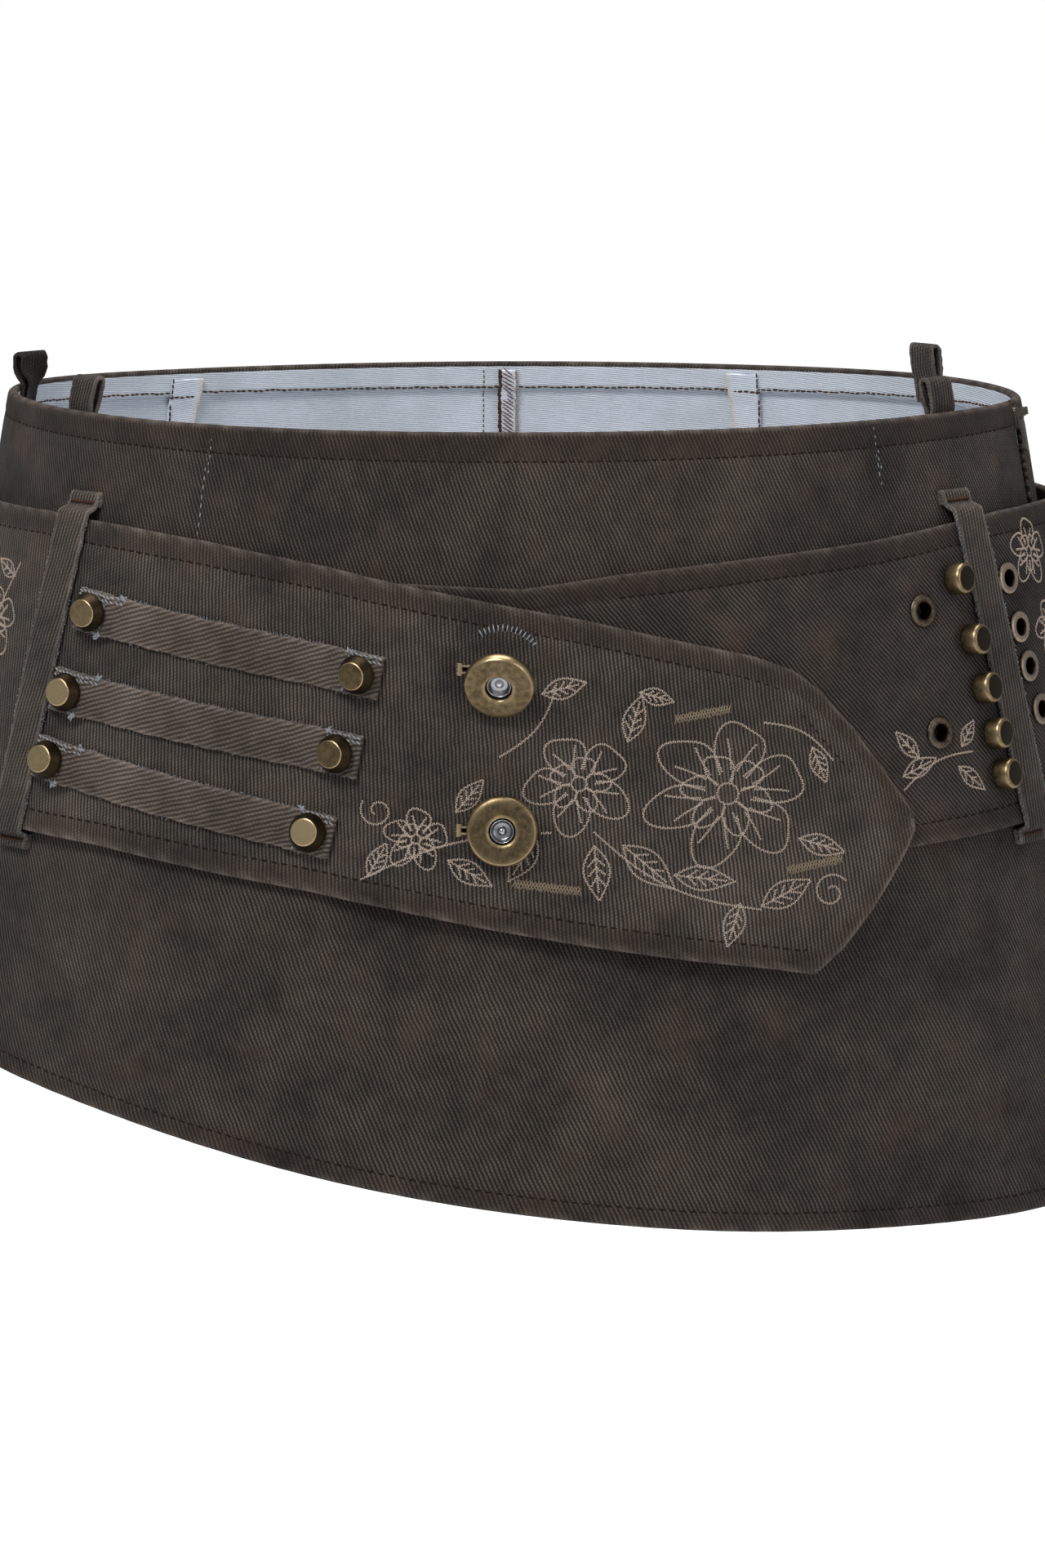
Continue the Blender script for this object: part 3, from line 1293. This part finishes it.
def tack(face, start, end, width, out, thread=0.42):
    """Bar tack: close stitches set across a short line."""
    length = math.hypot(end[0] - start[0], end[1] - start[1])
    heading = math.atan2(end[1] - start[1], end[0] - start[0])
    made = []
    for share in steps(0.0, 1.0, thread / length):
        girth = start[0] + (end[0] - start[0]) * share
        height = start[1] + (end[1] - start[1]) * share
        turn = heading + math.pi / 2.0 + SEED.uniform(-0.12, 0.12)
        size = (0.5 * width * SEED.uniform(0.85, 1.1), 0.62 * thread, 0.3)
        made.append(bead(face, girth, height, out, turn, size))
    return made


def make_loop_tacks():
    brown = []
    for _, *ends in LONG_LOOPS:
        face = loop_face(ends)
        for height in (LOOP_TOP - 2.4, LOOP_BOTTOM + 2.4):
            brown += tack(face, (-4.6, height), (4.6, height), 1.3, 0.1)
    thread_piece("loop_bar_tacks", brown, INNER_THREAD)


def make_buttonhole_stitching():
    tan = []
    for _, girth, height, _, _, _ in BUTTONS:
        end = girth - BUTTON_HOLE_REACH
        tan += tack(flap_face, (end, height - 1.6), (end, height + 1.6), 2.0, 0.1)
        for rise in (-0.95, 0.95):
            level = height + rise
            tan += tack(flap_face, (end + 0.5, level), (girth - 2.0, level), 0.9, 0.06, 0.34)
    thread_piece("buttonhole_stitching", tan, TAN_THREAD)
    rays = []
    _, girth, height, _, _, _ = BUTTONS[0]
    for angle in steps(math.radians(38.0), math.radians(120.0), math.radians(6.5)):
        out = (girth + BUTTON_HOLE_REACH * math.cos(angle), height + BUTTON_HOLE_REACH * math.sin(angle))
        rays.append(bead(flap_face, *out, 0.08, angle, (1.3 * SEED.uniform(0.8, 1.2), 0.26, 0.24)))
    thread_piece("buttonhole_rays", rays, FRAY_THREAD)


def make_strap_stitching():
    ends = []
    for strap in STRAPS:
        face = strap_face(strap)
        left = strap[1]
        right = strap[3]
        for girth in (left + STRAP_FOLD - 1.2, right - STRAP_FOLD + 1.2):
            line = [(girth, across) for across in steps(-5.0, 5.0, 2.0)]
            ends += stitches(face, line, 1.9, 1.5, 0.5, 0.35, 0.02, 0.1)
        for side in (5.7, 4.4):
            ends += whipped(face, (left + 0.6, left + 14.5), side)
            ends += whipped(face, (right - 9.0, right - 0.6), side)
        ends += whipped(face, (left + 8.0, left + 10.0), -5.5)
        for girth, across in ((left + 15.0, 6.3), (right - 9.8, 6.3), (left + 9.5, -6.4)):
            ends += tuft(face, girth, across)
    thread_piece("strap_end_stitching", ends, PALE_THREAD)


def tuft(face, girth, across):
    """A knot of cut thread ends."""
    made = []
    for _ in range(9):
        along = girth + SEED.uniform(-0.8, 0.8)
        side = across + SEED.uniform(-0.7, 0.7)
        made.append(bead(face, along, side, 0.15, SEED.uniform(0.0, math.tau), (0.95, 0.2, 0.2)))
    return made


def whipped(face, edge, side):
    """Slanting pale stitches over a strap's edge."""
    made = []
    for girth in steps(edge[0], edge[1], 1.5):
        turn = math.radians(-24.0) + SEED.uniform(-0.2, 0.2)
        made.append(bead(face, girth, side + SEED.uniform(-0.15, 0.15), 0.05, turn, (0.95, 0.3, 0.24)))
    return made


def fray(face, along, across, outward, count_per_mm, reach, lengthwise=False):
    """Loose ends of thread that stand out of a raw edge, which runs along the girth if lengthwise."""
    made = []
    start, end = along
    count = int(abs(end - start) * count_per_mm)
    for index in range(count):
        spot = start + (end - start) * (index + SEED.random()) / count
        length = reach * (0.25 + SEED.random() ** 2)
        lean = SEED.uniform(-0.9, 0.9)
        side = across + outward * 0.35 * length
        girth, height = (spot, side) if lengthwise else (side, spot)
        matrix = frame_on(face, girth, height, SEED.uniform(-0.9, 0.05))
        base = math.pi / 2.0 if lengthwise else 0.0
        droop = Matrix.Rotation(SEED.uniform(-0.5, 0.3) * outward, 4, "Y")
        turn = Matrix.Rotation(base + lean, 4, "Z") @ droop
        made.append(matrix @ turn @ Matrix.Diagonal((0.5 * length * MM, 0.09 * MM, 0.09 * MM, 1.0)))
    return made


def make_frays():
    pale = []
    for node, *ends in LONG_LOOPS:
        face = loop_face(ends)
        dense = 4.5 if node == "belt_loop_front_right" else 2.6
        for side in (-1.0, 1.0):
            pale += fray(face, (LOOP_TOP - 0.5, LOOP_BOTTOM + 0.5), side * 5.95, side, dense, 1.1)
    thread_piece("loop_frayed_edges", pale, FRAY_THREAD)
    straps = []
    for strap in STRAPS:
        face = strap_face(strap)
        for side, dense in ((-1.0, 0.5), (1.0, 2.2)):
            straps += fray(face, (strap[1] + 0.5, strap[3] - 0.5), side * 6.05, side, dense, 1.0, True)
    thread_piece("strap_frayed_edges", straps, FRAY_THREAD)


# Embroidery of leaves and flowers

def curve_points(function, start, end, count):
    return [function(start + (end - start) * index / count) for index in range(count + 1)]


def bloom(centre, radius, petals, turn, lean=1.0):
    """Petals with wavy rims and two veins each, a second ring inside, and a ring at the heart."""
    def spot(angle, out):
        return centre[0] + lean * out * math.cos(angle), centre[1] + out * math.sin(angle)

    lines = []
    for ring, (reach, shift) in enumerate(((1.0, 0.0), (0.56, 0.5))):
        for petal in range(petals):
            middle = turn + math.tau * (petal + shift) / petals
            spread = math.pi / petals * 1.12

            def rim(share, middle=middle, spread=spread, reach=reach, petal=petal):
                angle = middle + spread * (2.0 * share - 1.0)
                wave = 1.0 + 0.07 * math.sin(9.0 * share + petal)
                return spot(angle, radius * reach * (0.30 + 0.70 * math.sin(math.pi * share) ** 0.55) * wave)

            lines.append(curve_points(rim, 0.0, 1.0, 18))
            for side in (-0.22, 0.2) if ring == 0 else ():
                def vein(share, middle=middle, side=side, spread=spread, reach=reach):
                    angle = middle + side * spread * (1.0 + share)
                    return spot(angle, radius * reach * (0.34 + 0.42 * share))

                lines.append(curve_points(vein, 0.0, 1.0, 5))

    def heart(angle):
        return centre[0] + 0.15 * radius * math.cos(angle), centre[1] + 0.15 * radius * math.sin(angle)

    lines.append(curve_points(heart, 0.0, math.tau, 10))
    return lines


def leaf(base, length, heading, width, veins=3):
    """Two bowed sides, a middle vein and short side veins."""
    def spot(along, across):
        return (base[0] + along * math.cos(heading) - across * math.sin(heading),
                base[1] + along * math.sin(heading) + across * math.cos(heading))

    def side(share, way):
        return spot(length * share, way * width * math.sin(math.pi * share) * (1.15 - 0.5 * share))

    lines = [
        curve_points(lambda share: side(share, 1.0), 0.0, 1.0, 12),
        curve_points(lambda share: side(share, -1.0), 0.0, 1.0, 12),
        curve_points(lambda share: spot(length * share, 0.0), 0.05, 0.86, 5),
    ]
    for index in range(veins):
        start = 0.22 + 0.5 * index / max(veins, 1)
        for way in (-1.0, 1.0):
            tip = side(min(start + 0.16, 1.0), 0.72 * way)
            lines.append([spot(length * start, 0.0), tip])
    return lines


def stem(start, end, bow):
    def line(share):
        across = bow * math.sin(math.pi * share)
        heading = math.atan2(end[1] - start[1], end[0] - start[0])
        return (start[0] + (end[0] - start[0]) * share - across * math.sin(heading),
                start[1] + (end[1] - start[1]) * share + across * math.cos(heading))

    return [curve_points(line, 0.0, 1.0, 22)]


def tendril(centre, radius, turns, start):
    def line(share):
        reach = radius * (1.0 - 0.8 * share)
        angle = start + math.tau * turns * share
        return centre[0] + reach * math.cos(angle), centre[1] + reach * math.sin(angle)

    return [curve_points(line, 0.0, 1.0, 26)]


def embroidered(face, lines, out, width=0.47, step=0.62):
    """Tight zigzag thread along each line."""
    made = []
    for line in lines:
        for index, (girth, height, heading) in enumerate(along_line(line, step)):
            lean = 0.5 if index % 2 else -0.5
            turn = heading + math.pi / 2.0 + lean + SEED.uniform(-0.15, 0.15)
            made.append(bead(face, girth, height, out, turn, (width * SEED.uniform(0.85, 1.15), 0.25, 0.2)))
    return made


def flap_sprays():
    lines = bloom((58.0, -104.0), 21.0, 6, 0.25, 1.12) + bloom((16.0, -100.0), 14.5, 5, 0.7, 1.05)
    lines += bloom((-29.0, -116.0), 9.0, 5, 0.2)
    lines += stem((-44.0, -128.0), (8.0, -114.0), 4.0) + stem((20.0, -114.0), (66.0, -138.0), -5.0)
    lines += stem((-6.0, -92.0), (10.0, -72.0), -3.0) + stem((70.0, -84.0), (90.0, -96.0), 3.0)
    # base, length, heading, half width
    leaves = (
        ((28.0, -118.0), 19.0, -0.75, 4.6), ((42.0, -127.0), 17.0, -0.15, 3.8),
        ((66.0, -137.0), 16.0, 0.45, 4.0),
        ((60.0, -136.0), 13.0, -1.9, 3.2), ((20.0, -118.0), 16.0, -1.5, 4.0),
        ((4.0, -115.0), 15.0, -2.1, 3.8),
        ((-20.0, -122.0), 14.0, -0.55, 3.4), ((-42.0, -127.0), 11.0, 1.1, 2.8),
        ((6.0, -74.0), 13.0, 0.25, 3.2),
        ((30.0, -88.0), 14.0, 1.25, 3.4), ((84.0, -92.0), 11.0, -1.25, 2.8),
        ((78.0, -118.0), 14.0, -0.35, 3.2),
        ((-18.0, -108.0), 12.0, 0.9, 3.0), ((34.0, -74.0), 10.0, -0.3, 2.6),
    )
    for base, length, heading, width in leaves:
        lines += leaf(base, length, heading, width)
    lines += tendril((86.0, -134.0), 5.5, 1.3, 0.6) + tendril((-40.0, -108.0), 5.0, 1.3, 2.6)
    return lines


def side_sprays():
    lines = bloom((178.0, -42.0), 10.0, 5, 0.2) + bloom((185.0, -66.0), 9.0, 5, 0.5)
    lines += stem((180.0, -76.0), (188.0, -104.0), 3.0) + stem((114.0, -107.0), (140.0, -98.0), 3.0)
    # base, length, heading, half width
    leaves = (
        ((114.0, -103.0), 13.0, 0.35, 2.8), ((120.0, -98.0), 11.0, 2.3, 2.6),
        ((134.0, -102.0), 12.0, -0.7, 2.6),
        ((136.0, -96.0), 9.0, 0.9, 2.4), ((182.0, -82.0), 11.0, -0.9, 2.8), ((186.0, -92.0), 11.0, 2.4, 2.6),
        ((188.0, -104.0), 10.0, -1.2, 2.4), ((190.0, -50.0), 9.0, 0.4, 2.4),
    )
    for base, length, heading, width in leaves:
        lines += leaf(base, length, heading, width, 2)
    return lines


def left_sprays():
    lines = bloom((-178.0, -62.0), 11.0, 5, 0.4) + bloom((-190.0, -94.0), 9.0, 5, 0.2)
    lines += stem((-168.0, -44.0), (-186.0, -112.0), -6.0)
    # base, length, heading, half width
    leaves = (
        ((-172.0, -80.0), 12.0, 3.6, 2.8), ((-180.0, -102.0), 12.0, -0.4, 2.8),
        ((-170.0, -48.0), 10.0, 2.7, 2.6),
    )
    for base, length, heading, width in leaves:
        lines += leaf(base, length, heading, width, 2)
    return lines


def satin_bars():
    """Broad tan satin stitching in the stems, as short straight lines."""
    return (
        ((-2.0, -128.5), (16.0, -131.0)),
        ((44.0, -82.0), (60.0, -79.5)),
        ((74.0, -127.0), (90.0, -124.5)),
    )


def keep_clear(line, spots, reach):
    """Parts of a line that stay clear of round spots."""
    parts = [[]]
    for point in line:
        if all(math.dist(point, spot) > reach for spot in spots):
            parts[-1].append(point)
        elif parts[-1]:
            parts.append([])
    return [part for part in parts if len(part) > 1]


def make_embroidery():
    buttons = [(row[1], row[2]) for row in BUTTONS]
    holes = [(row[1], row[2]) for row in EYELETS + BELT_STUDS]
    flap = [part for line in flap_sprays() for part in keep_clear(line, buttons, 8.5)]
    thread_piece("flap_embroidery", embroidered(flap_face, flap, 0.08), BEIGE_THREAD)
    bars = embroidered(flap_face, satin_bars(), 0.06, 1.9, 0.42)
    thread_piece("flap_satin_bars", bars, SATIN_THREAD)
    side = [part for line in side_sprays() for part in keep_clear(line, holes, 5.6)]
    thread_piece("underlap_embroidery", embroidered(under_face, side, 0.08), BEIGE_THREAD)
    left = embroidered(flap_face, left_sprays(), 0.08)
    thread_piece("left_embroidery", left, BEIGE_THREAD)


# Zip

def tape_out(height):
    """How far in the zip's tape lies: behind the turned-in band, then behind the cloth alone."""
    deep = -2.0 * CLOTH - 2.0 * SEAM_GAP - 0.4
    flat = -CLOTH - SEAM_GAP - 0.4
    return deep + (flat - deep) * smooth(-height, WAIST_TURN + 1.4, WAIST_TURN + 5.0)


def make_zip():
    heights = steps(-1.5, -170.0, 2.5)
    for node, way in (("zip_tape_front", -1.0), ("zip_tape_back", 1.0)):
        def point(column, row, way=way):
            angle = math.radians(ZIP_MIDDLE) + way * (column + 0.3) / section(row)[1]
            return place(angle, row, tape_out(row)), (column, row), 0.0, 0.0

        sheet(node + "_weave", steps(0.0, 4.6, 1.0), heights, point, 0.8, (ZIP_TAPE,), node, 0.15)
    middle = girth_at(math.radians(ZIP_MIDDLE))
    bm = bmesh.new()
    for index, height in enumerate(steps(-9.0, -160.0, 0.9)):
        side = 0.5 if index % 2 else -0.5
        matrix = frame_on(skirt_face, middle + side, height, tape_out(height) + 0.62)
        tooth = Matrix.Diagonal((1.9 * MM, 0.86 * MM, 0.85 * MM, 1.0))
        bmesh.ops.create_cube(bm, size=1.0, matrix=matrix @ tooth)
    link_mesh("zip_teeth", bm, (ZIP_METAL,), None)
    for node in ("zip_slider", "zip_pull"):
        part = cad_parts[node]
        for slot in part.material_slots:
            slot.material = ZIP_METAL


# Stage

def floor_material():
    """Pale studio floor, lit from behind where the camera sees it."""
    material, tree, shader = new_material("pale floor")
    place_at = tree.nodes.new("ShaderNodeTexCoord").outputs["Object"]
    colour = add_mix(tree, add_noise(tree, place_at, 3.0), (0.84, 0.84, 0.84), (0.88, 0.88, 0.88))
    tree.links.new(colour, shader.inputs["Base Color"])
    shader.inputs["Roughness"].default_value = 0.9
    seen = tree.nodes.new("ShaderNodeLightPath").outputs["Is Camera Ray"]
    tree.links.new(add_mix(tree, seen, (0.0, 0.0, 0.0), (1.0, 1.0, 1.0)), shader.inputs["Emission Color"])
    shader.inputs["Emission Strength"].default_value = 0.8
    return material


def make_stage():
    bm = bmesh.new()
    matrix = Matrix.Translation((0.0, 4.0, -0.62))
    bmesh.ops.create_grid(bm, x_segments=1, y_segments=1, size=9.0, matrix=matrix)
    mesh = bpy.data.meshes.new("floor")
    bm.to_mesh(mesh)
    bm.free()
    floor = bpy.data.objects.new("floor", mesh)
    mesh.materials.append(floor_material())
    bpy.context.scene.collection.objects.link(floor)


def add_light(name, place_at, aim, size, power):
    data = bpy.data.lights.new(name, "AREA")
    data.shape = "RECTANGLE"
    data.size = size[0]
    data.size_y = size[1]
    data.energy = power
    light = bpy.data.objects.new(name, data)
    light.location = place_at
    light.rotation_euler = (Vector(aim) - Vector(place_at)).to_track_quat("-Z", "Y").to_euler()
    bpy.context.scene.collection.objects.link(light)


def make_light():
    world = bpy.data.worlds.new("studio")
    bpy.context.scene.world = world
    world.use_nodes = True
    tree = world.node_tree
    background = tree.nodes["Background"]
    seen = tree.nodes.new("ShaderNodeLightPath").outputs["Is Camera Ray"]
    tree.links.new(add_mix(tree, seen, (0.30, 0.31, 0.33), (1.0, 1.0, 1.0)), background.inputs["Color"])
    background.inputs["Strength"].default_value = 1.0
    add_light("key", (-0.7, -1.5, 1.5), (0.0, 0.0, -0.1), (0.9, 0.6), 30.0)
    add_light("top", (0.0, 0.25, 1.5), (0.0, 0.0, -0.05), (1.1, 1.1), 20.0)
    add_light("fill", (1.5, -1.5, 0.4), (0.0, 0.0, -0.12), (1.2, 1.2), 7.0)


def make_camera():
    """Camera of the photograph: its focal length and its aim are in pixels of a 1280 by 1920 frame."""
    tilt = math.radians(5.5)
    turn = math.radians(-1.0)
    focal = 7140.0
    distance = 1.8
    pitch = tilt + math.atan((960.0 - 487.0) / focal)
    level = math.cos(tilt)
    place_at = distance * Vector((math.sin(turn) * level, -math.cos(turn) * level, math.sin(tilt)))
    right = Vector((math.cos(turn), math.sin(turn), 0.0))
    place_at += right * ((640.0 - 630.0) / focal * distance)
    level = math.cos(pitch)
    ahead = Vector((-math.sin(turn) * level, math.cos(turn) * level, -math.sin(pitch)))
    up = right.cross(ahead)
    data = bpy.data.cameras.new("camera")
    data.sensor_fit = "VERTICAL"
    data.sensor_height = 36.0
    data.lens = focal * 36.0 / 1920.0
    data.clip_end = 50.0
    camera = bpy.data.objects.new("camera", data)
    basis = Matrix((right, up, -ahead)).transposed().to_4x4()
    camera.matrix_world = Matrix.Translation(place_at) @ basis
    bpy.context.scene.collection.objects.link(camera)
    bpy.context.scene.camera = camera
    bpy.context.scene.view_settings.view_transform = "Standard"


def main():
    make_camera()
    make_light()
    make_stage()
    make_darts()
    make_allowance()
    make_zip()
    make_skirt()
    make_belt()
    make_long_loops()
    make_waist_loops()
    make_straps()
    make_studs()
    make_eyelets()
    make_buttons()
    make_skirt_stitching()
    make_dart_stitching()
    make_side_line()
    make_overlock()
    make_belt_stitching()
    make_loop_tacks()
    make_buttonhole_stitching()
    make_strap_stitching()
    make_frays()
    make_embroidery()


main()
